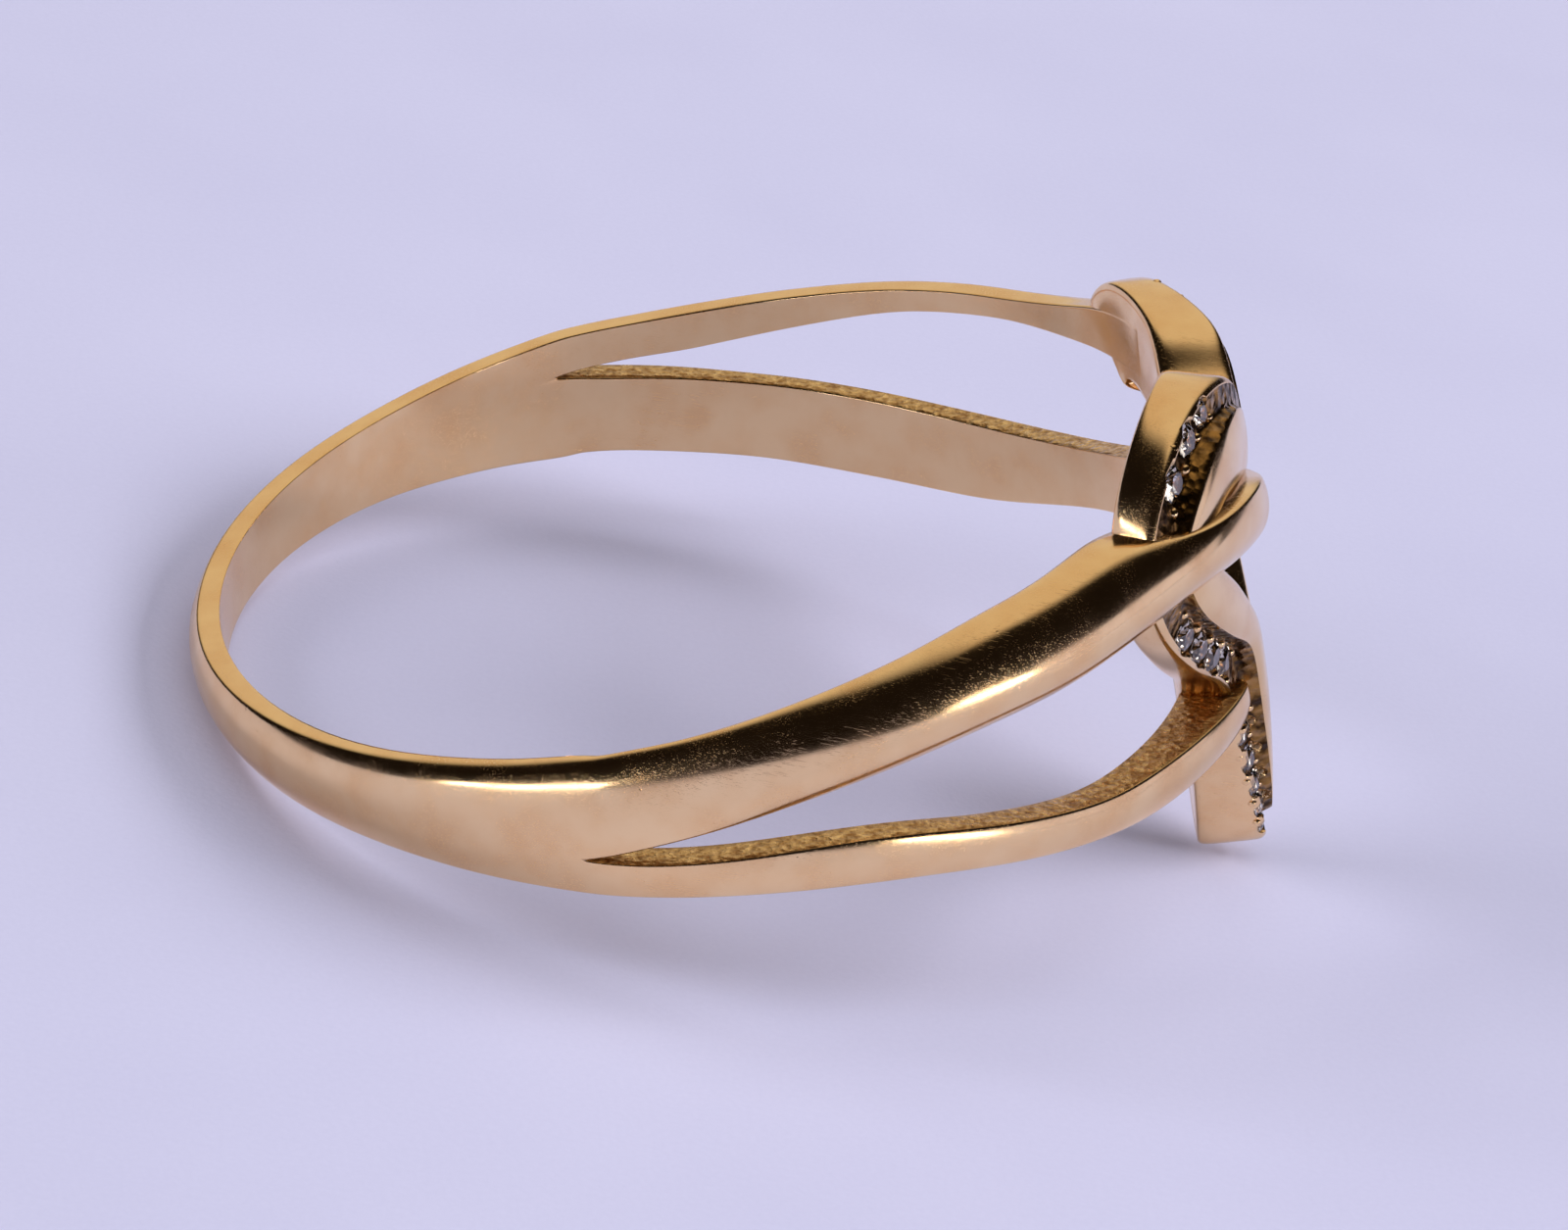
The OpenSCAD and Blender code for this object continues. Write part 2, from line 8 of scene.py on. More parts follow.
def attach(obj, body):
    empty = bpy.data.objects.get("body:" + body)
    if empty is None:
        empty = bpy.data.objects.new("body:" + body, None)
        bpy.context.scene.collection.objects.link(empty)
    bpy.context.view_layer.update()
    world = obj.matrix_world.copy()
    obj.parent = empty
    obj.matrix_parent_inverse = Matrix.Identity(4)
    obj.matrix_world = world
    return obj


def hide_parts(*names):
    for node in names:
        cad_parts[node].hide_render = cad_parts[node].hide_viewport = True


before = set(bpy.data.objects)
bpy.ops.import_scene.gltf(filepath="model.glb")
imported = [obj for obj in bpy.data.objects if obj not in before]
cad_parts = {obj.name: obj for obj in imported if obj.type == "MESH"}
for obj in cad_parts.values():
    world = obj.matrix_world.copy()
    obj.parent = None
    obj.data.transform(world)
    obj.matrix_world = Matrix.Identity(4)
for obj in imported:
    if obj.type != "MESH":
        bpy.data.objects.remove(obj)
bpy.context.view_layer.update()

# Sizes of the ring, in millimetres in its own upright frame: finger hole along Z, heart towards +X
MM = 0.001
BORE_R = 8.65
LEAN = math.radians(19.0924)      # the ring lies on the heart's point and on the back of the shank
RAISED = 3.4832                   # height of the middle of the finger hole
BOX_MIDDLE = 1.365                # the ring's middle stands this far towards the heart from the hole's
LIE = Matrix.Translation((-BOX_MIDDLE * MM, 0, RAISED * MM)) @ Matrix.Rotation(-LEAN, 4, "Y")

# Near half of the band, by turn from the back of the shank: turn, low edge, low and high side of
# the slot, high edge at bore, high edge outside, crown radius, low edge radius, high edge radius,
# crown radius of the thin fork. From 35 to 86 degrees the high edge is rounder than in the solids
NEAR_BAND = [
    (0, -0.55, -0.14, -0.08, 0.55, 0.55, 9.27, 9.06, 9.06, 9.27),
    (20, -0.62, -0.18, -0.12, 0.62, 0.62, 9.27, 9.06, 9.06, 9.27),
    (35, -0.70, -0.23, -0.17, 0.70, 0.70, 9.27, 9.06, 8.98, 9.27),
    (50, -0.80, -0.29, -0.23, 0.84, 0.86, 9.28, 9.06, 8.89, 9.28),
    (63, -0.97, -0.34, -0.28, 1.04, 1.10, 9.29, 9.07, 8.84, 9.29),
    (70, -1.07, -0.38, -0.32, 1.14, 1.21, 9.30, 9.08, 8.82, 9.30),
    (76, -1.17, -0.42, -0.34, 1.28, 1.36, 9.31, 9.08, 8.81, 9.30),
    (81, -1.23, -0.50, -0.19, 1.41, 1.49, 9.32, 9.08, 8.78, 9.30),
    (86, -1.28, -0.53, -0.05, 1.53, 1.61, 9.34, 9.08, 8.80, 9.29),
    (92, -1.34, -0.54, 0.11, 1.71, 1.79, 9.37, 9.08, 8.83, 9.28),
    (98, -1.42, -0.55, 0.27, 1.90, 1.98, 9.41, 9.08, 8.81, 9.27),
    (104, -1.53, -0.62, 0.41, 2.08, 2.16, 9.47, 9.08, 8.80, 9.26),
    (110, -1.67, -0.76, 0.55, 2.24, 2.31, 9.54, 9.08, 8.79, 9.26),
    (116, -1.86, -1.00, 0.66, 2.41, 2.49, 9.62, 9.09, 8.80, 9.27),
    (122, -2.08, -1.25, 0.73, 2.56, 2.64, 9.70, 9.10, 8.82, 9.29),
    (130, -2.36, -1.56, 0.78, 2.62, 2.70, 9.77, 9.18, 8.86, 9.33),
    (136, -2.54, -1.76, 0.88, 2.71, 2.79, 9.82, 9.28, 8.90, 9.37),
    (142, -2.70, -1.86, 1.02, 2.74, 2.78, 9.90, 9.44, 9.08, 9.43),
    (150, -2.80, -1.95, 1.05, 2.38, 2.36, 10.06, 9.62, 9.78, 9.54),
    (158, -2.86, -2.06, 0.84, 2.14, 2.12, 10.22, 9.75, 10.12, 9.72),
    (165, -2.92, -2.18, 0.52, 1.93, 1.92, 10.33, 9.84, 10.23, 9.88),
    (170, -2.96, -2.28, 0.22, 1.70, 1.70, 10.38, 9.86, 10.28, 9.94),
    (175, -3.00, -2.40, -0.20, 1.40, 1.40, 10.40, 9.87, 10.30, 9.94),
    (180, -3.60, -2.70, -0.64, 1.06, 1.06, 10.40, 9.88, 9.88, 9.56),
]
# The far half after the fork, seen after half a turn about the head's axis, in the same columns
FAR_BAND = NEAR_BAND[:7] + [
    (81, -1.20, -0.47, -0.18, 1.38, 1.43, 9.32, 9.08, 8.93, 9.30),
    (86, -1.22, -0.50, -0.06, 1.52, 1.58, 9.34, 9.08, 8.91, 9.29),
    (92, -1.28, -0.52, 0.08, 1.68, 1.76, 9.37, 9.08, 8.90, 9.28),
    (98, -1.37, -0.66, 0.23, 1.82, 1.93, 9.41, 9.08, 8.90, 9.27),
    (104, -1.49, -0.84, 0.35, 1.97, 2.10, 9.46, 9.08, 8.92, 9.26),
    (110, -1.61, -1.03, 0.49, 2.14, 2.28, 9.51, 9.08, 8.95, 9.26),
    (116, -1.75, -1.25, 0.60, 2.25, 2.42, 9.56, 9.08, 8.99, 9.26),
    (122, -1.87, -1.43, 0.70, 2.33, 2.50, 9.60, 9.08, 9.04, 9.26),
    (130, -2.01, -1.58, 0.76, 2.34, 2.46, 9.62, 9.10, 9.09, 9.27),
    (138, -2.14, -1.72, 0.72, 2.14, 2.20, 9.62, 9.12, 9.14, 9.28),
    (147, -2.42, -1.80, 0.52, 1.76, 1.80, 9.62, 9.14, 9.20, 9.32),
    (155, -2.80, -1.95, 0.22, 1.42, 1.44, 9.66, 9.20, 9.36, 9.38),
    (163, -3.05, -2.05, -0.18, 1.14, 1.15, 9.80, 9.34, 9.44, 9.42),
    (170, -3.20, -2.15, -0.56, 0.92, 0.92, 10.05, 9.58, 9.62, 9.46),
    (175, -3.30, -2.25, -0.84, 0.78, 0.78, 10.25, 9.76, 9.77, 9.50),
    (180, -3.40, -2.35, -1.06, 0.64, 0.64, 10.40, 9.88, 9.88, 9.50),
]
# Names of the columns after the turn
LOW, SLOT_LOW, SLOT_HIGH, HIGH_IN, HIGH, CROWN_R, LOW_R, HIGH_R, THIN_CROWN_R = range(1, 10)
# Half of the heart from the cleft to the point: turn from the head's middle and height of the
# outer edge, the same for the inner edge, radius of the outer rim and of the inner crest, for
# the far half its share of the turn and the radius of the back, of the rim and of the crest,
# and the width of the recess
HEART = [
    (0.0, 2.62, 0.0, 1.00, 9.98, 10.04, 0.90, 8.20, 10.00, 10.04, 0.30),
    (3.4, 2.95, 3.2, 1.16, 9.96, 10.03, 0.90, 8.20, 9.98, 10.06, 0.34),
    (5.8, 3.44, 6.2, 1.40, 9.92, 10.01, 0.90, 8.20, 9.95, 10.08, 0.38),
    (8.8, 3.88, 10.0, 1.72, 9.86, 9.99, 0.90, 8.20, 9.92, 10.09, 0.42),
    (13.2, 4.18, 14.2, 1.98, 9.72, 9.97, 0.90, 8.20, 9.80, 10.10, 0.48),
    (18.6, 4.28, 18.0, 2.08, 9.56, 9.92, 0.90, 8.20, 9.64, 10.08, 0.60),
    (24.8, 4.14, 21.0, 1.98, 9.50, 9.88, 0.90, 8.20, 9.58, 10.06, 0.74),
    (30.6, 3.58, 22.6, 1.84, 9.50, 9.84, 0.87, 8.25, 9.62, 10.10, 0.78),
    (34.1, 2.92, 23.2, 1.66, 9.50, 9.80, 0.82, 8.70, 9.80, 10.18, 0.78),
    (35.4, 2.25, 23.2, 1.50, 9.50, 9.80, 0.78, 9.30, 9.98, 10.26, 0.76),
    (35.2, 1.50, 22.6, 1.32, 9.50, 9.82, 0.76, 9.54, 10.10, 10.34, 0.72),
    (33.9, 0.80, 21.4, 1.10, 9.50, 9.86, 0.76, 9.58, 10.12, 10.32, 0.70),
    (31.3, 0.12, 19.4, 0.80, 9.50, 9.90, 0.77, 9.54, 10.04, 10.24, 0.70),
    (28.0, -0.44, 17.2, 0.46, 9.50, 9.93, 0.79, 9.40, 9.92, 10.14, 0.70),
    (24.4, -0.98, 14.6, 0.04, 9.52, 9.96, 0.82, 9.15, 9.80, 10.06, 0.70),
    (20.5, -1.42, 11.8, -0.50, 9.54, 10.01, 0.85, 8.80, 9.70, 10.02, 0.70),
    (16.9, -1.86, 9.6, -0.94, 9.58, 10.06, 0.88, 8.40, 9.66, 10.04, 0.70),
    (14.0, -2.56, 8.0, -1.34, 9.62, 10.08, 0.90, 8.20, 9.68, 10.06, 0.70),
    (12.0, -3.28, 6.5, -1.70, 9.66, 10.09, 0.90, 8.20, 9.70, 10.08, 0.68),
    (9.2, -4.22, 4.5, -2.16, 9.70, 10.11, 0.90, 8.20, 9.78, 10.11, 0.66),
    (6.6, -5.12, 2.7, -2.62, 9.82, 10.12, 0.90, 8.20, 9.86, 10.12, 0.60),
    (4.4, -5.86, 1.2, -3.02, 9.90, 10.12, 0.90, 8.20, 9.92, 10.12, 0.54),
    (2.4, -6.42, 0.5, -3.18, 9.94, 10.11, 0.90, 8.20, 9.95, 10.11, 0.46),
    (0.6, -6.66, 0.1, -3.24, 9.95, 10.10, 0.90, 8.20, 9.95, 10.10, 0.40),
]
# Names of its columns
(OUT_TURN, OUT_Z, IN_TURN, IN_Z, RIM_R, CREST_R, FAR_SHARE, FAR_BACK_R, FAR_RIM_R, FAR_CREST_R,
 RECESS_W) = range(11)
# Across the heart's ribbon from the outer wall to the inner one: share of the lip, share of the
# recess, share of what is left, share of the rise from rim to crest, and height above that line
LIP = 0.13                        # width of the lip outside the recess
RECESS = 0.16                     # depth of the recess where it is open
DEEP = -0.15                      # marks the rows that lie on the floor of the recess
RIBBON = [
    (0.00, 0.00, 0.00, 0.00, -0.20),
    (0.20, 0.00, 0.00, 0.00, -0.05),
    (1.00, 0.00, 0.00, 0.02, 0.00),
    (1.00, 0.05, 0.00, 0.03, DEEP),
    (1.00, 0.96, 0.00, 0.26, DEEP),
    (1.00, 1.00, 0.03, 0.74, 0.03),
    (1.00, 1.00, 0.22, 0.93, 0.05),
    (1.00, 1.00, 0.55, 1.00, 0.04),
    (1.00, 1.00, 0.88, 1.00, 0.00),
    (1.00, 1.00, 1.00, 1.00, -0.14),
]
# Corners of a ribbon section: 0 and 1 are at the outer foot, then the rows above, then the inner foot
LIP_CORNER, FLOOR_OUTER, FLOOR_INNER, CREST_FOOT = 4, 5, 6, 7
OUTER_WALL, BACK_AND_INNER_WALL = (1, 2), (0, 13, 11, 12)

# Turns in degrees. The slot opens before the solids' 76, nearer to where the photo shows its tip
FORK_TURN = 74.8
OWN_FROM, OWN_OVER = 76, 26       # where each fork takes on a crown of its own
ROUND_FROM, ROUND_OVER = 36, 22   # where the high edge goes from a flat arch to a quarter round
CROSS_FROM, CROSS_OVER = 140, 16  # where the wide fork starts across the heart
SHANK_TURNS = (-68, -60, -50, -40, -30, -20, -10, 0, 10, 20, 30, 40, 50, 60, 68, FORK_TURN)
FORK_TURNS = (76.7, 78.5, 81.5, 86, 91.5, 97, 102, 107, 112, 117, 122, 127, 132, 137, 142, 148, 154,
              160, 166, 171)
LAST_WIDE_TURN = 176
ARCH = 2.4                        # power of the flat arch across a band
CREST = 0.36                      # place of the wide fork's crown between the slot and its high edge
CROSS_CREST = 0.6                 # the same where it crosses the heart
THIN_LOW_DROP, THIN_HIGH_DROP = 0.16, 0.07   # from the thin fork's crown to its edges
FAR_LOBE = 0.86                   # height of the far lobe against the near one
LOBE_OVER = 14                    # degrees from the cleft over which the far lobe comes down
LOBE_LEAN = 0.045                 # share of its height that a lobe loses per mm of radius
MM_PER_DEGREE = 0.166             # length of a degree of turn at the heart
CHAMFER = 0.1                     # chamfer along the ribbon's back, with its rise outside and inside
OUTER_RISE, INNER_RISE = 0.12, 0.08


def lin(code):
    """sRGB hex to linear colour."""
    parts = [int(code[i:i + 2], 16) / 255 for i in (0, 2, 4)]
    return tuple(p / 12.92 if p <= 0.04045 else ((p + 0.055) / 1.055) ** 2.4 for p in parts) + (1.0,)


# Finishes

def per_mm(size):
    """Pattern scale that gives features of this size in millimetres."""
    return 1 / (size * MM)


def node(tree, kind, values=None, **settings):
    """Add a node; a value is a number or colour for a socket, or the socket that feeds it."""
    n = tree.nodes.new(kind)
    for name, value in settings.items():
        setattr(n, name, value)
    for name, value in (values or {}).items():
        if isinstance(value, bpy.types.NodeSocket):
            tree.links.new(value, n.inputs[name])
        else:
            n.inputs[name].default_value = value
    return n


def ranged(tree, value, low, high, to_low=0.0, to_high=1.0):
    """Bring a value between two limits to a new range."""
    return node(tree, "ShaderNodeMapRange", {"Value": value, "From Min": low, "From Max": high,
                                             "To Min": to_low, "To Max": to_high}).outputs[0]


def math_of(tree, operation, first, second):
    return node(tree, "ShaderNodeMath", {0: first, 1: second}, operation=operation).outputs[0]


def patches(tree, place, size, detail=2.0, soft=0.5):
    """Cloudy pattern with patches of this size in millimetres."""
    return node(tree, "ShaderNodeTexNoise", {"Vector": place, "Scale": per_mm(size), "Detail": detail,
                                             "Roughness": soft}).outputs["Fac"]


SCRATCH_EDGE = 0.05               # how softly a scratch fades out at its sides


def scratches(tree, place, angles, long, wide, share):
    """Thin scratches of this length and width in millimetres, lying one way."""
    way = tuple(math.radians(a) for a in angles)
    run = node(tree, "ShaderNodeMapping", {"Vector": place, "Rotation": way,
                                           "Scale": (per_mm(long), per_mm(wide), per_mm(wide))})
    cloud = node(tree, "ShaderNodeTexNoise", {"Vector": run.outputs[0], "Scale": 1.0, "Detail": 1.0})
    return ranged(tree, cloud.outputs["Fac"], share, share + SCRATCH_EDGE)


def blend(tree, share, first, second):
    """Colour between two hex colours, by a share."""
    return node(tree, "ShaderNodeMix", {"Factor": share, 6: lin(first), 7: lin(second)},
                data_type="RGBA").outputs[2]


def new_finish(name):
    m = bpy.data.materials.new(name)
    m.use_nodes = True
    tree = m.node_tree
    place = node(tree, "ShaderNodeTexCoord").outputs["Object"]
    return m, tree, place, tree.nodes["Principled BSDF"]


# Real polishing scratches are a few thousandths of a millimetre wide: these are drawn coarser, to show
SCRATCH_WAYS = ((0, 20, 15), (35, 0, 60), (80, 40, -35), (10, 70, 110), (55, -30, 150), (20, 10, -70))


def polished_gold():
    """Yellow gold polished long ago: mirror-like, with fine scratches that catch the light, small pits
    and faint cloudy wear."""
    m, tree, place, shader = new_finish("polished yellow gold")
    marks = scratches(tree, place, SCRATCH_WAYS[0], 0.9, 0.018, 0.69)
    for angles in SCRATCH_WAYS[1:]:
        marks = math_of(tree, "MAXIMUM", marks, scratches(tree, place, angles, 0.7, 0.016, 0.70))
    worn = patches(tree, place, 0.9, 3.0)
    grain = patches(tree, place, 0.06, 2.0, 0.6)
    dents = node(tree, "ShaderNodeTexVoronoi", {"Vector": place, "Scale": per_mm(0.55)})
    pits = ranged(tree, dents.outputs["Distance"], 0.05, 0.02)
    scratched = math_of(tree, "MULTIPLY", marks, ranged(tree, worn, 0.3, 0.6, 0.3, 1.0))
    rough = math_of(tree, "ADD", ranged(tree, worn, 0.3, 0.7, 0.12, 0.21),
                    math_of(tree, "MULTIPLY", scratched, 0.12))
    tree.links.new(rough, shader.inputs["Roughness"])
    colour = blend(tree, ranged(tree, worn, 0.35, 0.7), "F9D5A2", "F2C690")
    tree.links.new(colour, shader.inputs["Base Color"])
    height = math_of(tree, "SUBTRACT", math_of(tree, "MULTIPLY", grain, 0.25),
                     math_of(tree, "ADD", math_of(tree, "MULTIPLY", scratched, 0.4),
                             math_of(tree, "MULTIPLY", pits, 1.6)))
    wavy = node(tree, "ShaderNodeBump", {"Height": patches(tree, place, 1.3, 1.0), "Strength": 1.0,
                                         "Distance": 0.0025 * MM})
    fine = node(tree, "ShaderNodeBump", {"Height": height, "Strength": 1.0, "Distance": 0.0016 * MM,
                                         "Normal": wavy.outputs[0]})
    tree.links.new(fine.outputs[0], shader.inputs["Normal"])
    shader.inputs["Metallic"].default_value = 1
    return m


def as_cast_gold():
    """Walls of the slots, left as cast and sawn: a coarse, pitted skin with glints, its colour painted
    darker in the hollows of its lumps as shade.
    """
    m, tree, place, shader = new_finish("gold as cast in the slots")
    lumps = patches(tree, place, 0.16, 3.0, 0.65)
    pits = node(tree, "ShaderNodeTexVoronoi", {"Vector": place, "Scale": per_mm(0.13)}).outputs["Distance"]
    # Painted shade: the colour follows the lumps of the bump, dark brown in their hollows and light gold
    # on their tops.
    colour = blend(tree, ranged(tree, lumps, 0.35, 0.65), "A87C48", "F2CE94")
    tree.links.new(colour, shader.inputs["Base Color"])
    tree.links.new(ranged(tree, lumps, 0.3, 0.7, 0.42, 0.22), shader.inputs["Roughness"])
    height = math_of(tree, "ADD", lumps, math_of(tree, "MULTIPLY", pits, 0.6))
    bump = node(tree, "ShaderNodeBump", {"Height": height, "Strength": 1.0, "Distance": 0.05 * MM})
    tree.links.new(bump.outputs[0], shader.inputs["Normal"])
    shader.inputs["Metallic"].default_value = 1
    return m


def recess_gold():
    """Cut floor and walls of the stones' recess: bright facets of the graver among dull gold, whose colour
    is painted dark as the shade in the recess.
    """
    m, tree, place, shader = new_finish("engraved gold of the recess with painted shade")
    cuts = node(tree, "ShaderNodeTexVoronoi", {"Vector": place, "Scale": per_mm(0.2)})
    dull_and_painted_shade = patches(tree, place, 0.25, 2.0)
    # Painted shade: the recess's colour runs in patches from near black to dull gold, far darker than the
    # polished gold, for the shade that falls in it.
    colour = blend(tree, ranged(tree, dull_and_painted_shade, 0.35, 0.65), "3A2612", "A67C45")
    tree.links.new(colour, shader.inputs["Base Color"])
    tree.links.new(ranged(tree, dull_and_painted_shade, 0.35, 0.65, 0.38, 0.16), shader.inputs["Roughness"])
    bump = node(tree, "ShaderNodeBump", {"Height": cuts.outputs["Distance"], "Strength": 1.0,
                                         "Distance": 0.04 * MM})
    tree.links.new(bump.outputs[0], shader.inputs["Normal"])
    shader.inputs["Metallic"].default_value = 1
    return m


STONE_IOR = 1.9                   # between lead glass and zirconia


def clear_stone():
    """Small white stones, cut and clear, with a trace of grease that dulls a facet here and there."""
    m, tree, place, shader = new_finish("clear cut stone")
    film = patches(tree, place, 0.3, 2.0)
    tree.links.new(ranged(tree, film, 0.45, 0.75, 0.0, 0.12), shader.inputs["Roughness"])
    tree.links.new(blend(tree, film, "E9E2DA", "CFC4B6"), shader.inputs["Base Color"])
    shader.inputs["Transmission Weight"].default_value = 1
    shader.inputs["IOR"].default_value = STONE_IOR
    return m


def pale_paper():
    """Smooth drawing paper in a cool light, with a faint tooth and broad patches of painted light and
    shade.
    """
    m, tree, place, shader = new_finish("pale paper")
    fibres = patches(tree, place, 0.12, 4.0, 0.6)
    # Painted light and shade: patches about 9 mm across make the paper a little lighter or darker, for
    # light that falls unevenly on it; the fine fibres are the paper's own tooth.
    painted_light_clouds = patches(tree, place, 9.0, 2.0)
    tooth_and_painted_light = math_of(tree, "ADD", ranged(tree, fibres, 0.3, 0.7, 0.0, 0.4),
                    ranged(tree, painted_light_clouds, 0.3, 0.7, 0.0, 0.6))
    tree.links.new(blend(tree, tooth_and_painted_light, "D6D4F2", "CFCDEC"), shader.inputs["Base Color"])
    bump = node(tree, "ShaderNodeBump", {"Height": fibres, "Strength": 1.0, "Distance": 0.006 * MM})
    tree.links.new(bump.outputs[0], shader.inputs["Normal"])
    shader.inputs["Roughness"].default_value = 0.9
    shader.inputs["Specular IOR Level"].default_value = 0.2
    return m


gold = polished_gold()
cast_gold = as_cast_gold()
shaded_recess_gold = recess_gold()
stone_finish = clear_stone()


# Shape of the ring, worked out from its tables

def mix(a, b, u):
    return a + (b - a) * u


def ease(u):
    v = max(0.0, min(1.0, u))
    return v * v * (3 - 2 * v)


def slope(rows, i, c):
    if i <= 0:
        return 0
    if i >= len(rows) - 1:
        return (rows[i][c] - rows[i - 1][c]) / (rows[i][0] - rows[i - 1][0])
    return (rows[i + 1][c] - rows[i - 1][c]) / (rows[i + 1][0] - rows[i - 1][0])


def smooth_at(t, rows, c):
    """Smooth curve through the rows of a table, by its first column."""
    i = 0
    while i < len(rows) - 2 and t >= rows[i + 1][0]:
        i += 1
    h = rows[i + 1][0] - rows[i][0]
    u = (t - rows[i][0]) / h
    return ((2 * u ** 3 - 3 * u * u + 1) * rows[i][c] + (u ** 3 - 2 * u * u + u) * h * slope(rows, i, c)
            + (3 * u * u - 2 * u ** 3) * rows[i + 1][c] + (u ** 3 - u * u) * h * slope(rows, i + 1, c))


def domed(z, low, high, low_r, high_r, crown, crest, full):
    """Radius across a domed band that is fullest at a share of its width from the low edge; its
    upper shoulder goes from a flat arch to a full quarter round."""
    u = (z - low) / max(high - low, 0.001)
    if u < crest:
        return crown - (crown - low_r) * (1 - u / crest) ** ARCH
    away = min(1, (u - crest) / (1 - crest))
    return crown - (crown - high_r) * mix(away ** ARCH, 1 - math.sqrt(1 - away * away), full)


def own(t):
    """Share of its own crown that a fork has here; before that it follows the shank's."""
    return ease((t - OWN_FROM) / OWN_OVER)


def full_r(t, z, rows):
    low, high, low_r, high_r, crown = (smooth_at(t, rows, c) for c in (LOW, HIGH, LOW_R, HIGH_R, CROWN_R))
    return domed(z, low, high, low_r, high_r, crown, 0.5, ease((t - ROUND_FROM) / ROUND_OVER))


def thick_r(t, z, rows):
    slot, high, low_r, high_r, crown = (smooth_at(t, rows, c)
                                        for c in (SLOT_HIGH, HIGH, LOW_R, HIGH_R, CROWN_R))
    crossing = ease((t - CROSS_FROM) / CROSS_OVER)
    crest = mix(CREST, CROSS_CREST, crossing)
    return mix(full_r(t, z, rows), domed(z, slot, high, low_r, high_r, crown, crest, 1 - crossing), own(t))


def thin_r(t, z, rows):
    low, slot, crown = (smooth_at(t, rows, c) for c in (LOW, SLOT_LOW, THIN_CROWN_R))
    own_r = domed(z, low, slot, crown - THIN_LOW_DROP, crown - THIN_HIGH_DROP, crown, 0.5, 0)
    return mix(full_r(t, z, rows), own_r, own(t))


# Columns of the band's mesh from its low edge to its high edge: shares of the thin fork, which
# is under the slot, and of the wide one above it
THIN_SHARES = (0, 0.1, 0.5, 0.9, 1)
WIDE_SHARES = (0, 0.08, 0.28, 0.48, 0.68, 0.84, 0.95, 1)
SLOT = len(THIN_SHARES) - 1
LAST = SLOT + len(WIDE_SHARES) - 1


def at_turn(turn, r, z):
    a = math.radians(turn)
    return Vector((-r * math.cos(a), -r * math.sin(a), z))


def half_turn(p):
    return Vector((p[0], -p[1], -p[2]))


def thin_place(t, rows, share, outer):
    low, slot = smooth_at(t, rows, LOW), smooth_at(t, rows, SLOT_LOW)
    if t <= FORK_TURN:
        slot = (slot + smooth_at(t, rows, SLOT_HIGH)) / 2
    z = mix(low, slot, share)
    return at_turn(t, thin_r(t, z, rows) if outer else BORE_R, z)


def wide_place(t, rows, share, outer):
    slot = smooth_at(t, rows, SLOT_HIGH)
    if t <= FORK_TURN:
        slot = (slot + smooth_at(t, rows, SLOT_LOW)) / 2
    z = mix(slot, smooth_at(t, rows, HIGH), share)
    z_in = mix(slot, smooth_at(t, rows, HIGH_IN), share)
    return at_turn(t, thick_r(t, z, rows), z) if outer else at_turn(t, BORE_R, z_in)


def fork_section(t, rows, columns):
    """Corners of a section of the band after the fork, keyed by column and inner or outer side."""
    corners = {}
    for j in columns:
        for outer in (False, True):
            if j < SLOT or (j == SLOT and columns[-1] == SLOT):
                corners[j, outer] = thin_place(t, rows, THIN_SHARES[j], outer)
            else:
                corners[j, outer] = wide_place(t, rows, WIDE_SHARES[j - SLOT], outer)
    return corners


def shank_section(t):
    """The same for the shank, where the columns slide from the far fork's places to the near one's."""
    rows, side = NEAR_BAND, abs(t)
    low, high = smooth_at(side, rows, LOW), smooth_at(side, rows, HIGH)
    if t < 0:
        low, high = -high, -low
    n_low, n_high = smooth_at(FORK_TURN, rows, LOW), smooth_at(FORK_TURN, rows, HIGH)
    slot = (smooth_at(FORK_TURN, rows, SLOT_LOW) + smooth_at(FORK_TURN, rows, SLOT_HIGH)) / 2
    heights = [mix(n_low, slot, s) for s in THIN_SHARES] + [mix(slot, n_high, s) for s in WIDE_SHARES[1:]]
    shares = [(z - n_low) / (n_high - n_low) for z in heights]
    slid = ease((t + FORK_TURN) / (2 * FORK_TURN))
    corners = {}
    for j in range(LAST + 1):
        u = mix(1 - shares[LAST - j], shares[j], slid)
        z = mix(low, high, u)
        r = full_r(side, z if t >= 0 else -z, rows)
        corners[j, True] = at_turn(t, r, z)
        corners[j, False] = at_turn(t, BORE_R, z)
    return corners


HEART_ROWS = [(i,) + row for i, row in enumerate(HEART)]
STONE_FILL = 0.92                 # diameter of a stone against the width of its recess
STONE_PITCH = 1.29                # from stone to stone, in stone diameters
FORK_CLEAR, FORK_OVER = 0.05, 0.35   # mm from a fork over which the recess opens
CLEFT_END, CLEFT_OVER = 3.4, 1.6  # stations over which it opens after the cleft
FIRST_STONE = 4.3                 # station before which the recess is too shallow for a stone
STONE_CLEAR = 0.36                # mm that the middle of a stone keeps from a fork
LOOK = 0.2                        # stations to each side that give the recess's direction
STONE_RISE = 0.03                 # mm from the floor of the recess up to a stone's girdle


def heart_value(s, c):
    return smooth_at(s, HEART_ROWS, c + 1)


def heart_place(turn, z, r, far):
    """Point of the heart; the lobes lean in towards the front, and the far one is the lower."""
    low = mix(1, FAR_LOBE, ease(turn / LOBE_OVER)) if far and z > 0 else 1
    h = z * low * (1 - LOBE_LEAN * (r - BORE_R)) if z > 0 else z
    a = math.radians(turn if far else -turn)
    return Vector((r * math.cos(a), r * math.sin(a), h))


def ribbon_width(s):
    return math.hypot((heart_value(s, OUT_TURN) - heart_value(s, IN_TURN)) * MM_PER_DEGREE,
                      heart_value(s, OUT_Z) - heart_value(s, IN_Z))


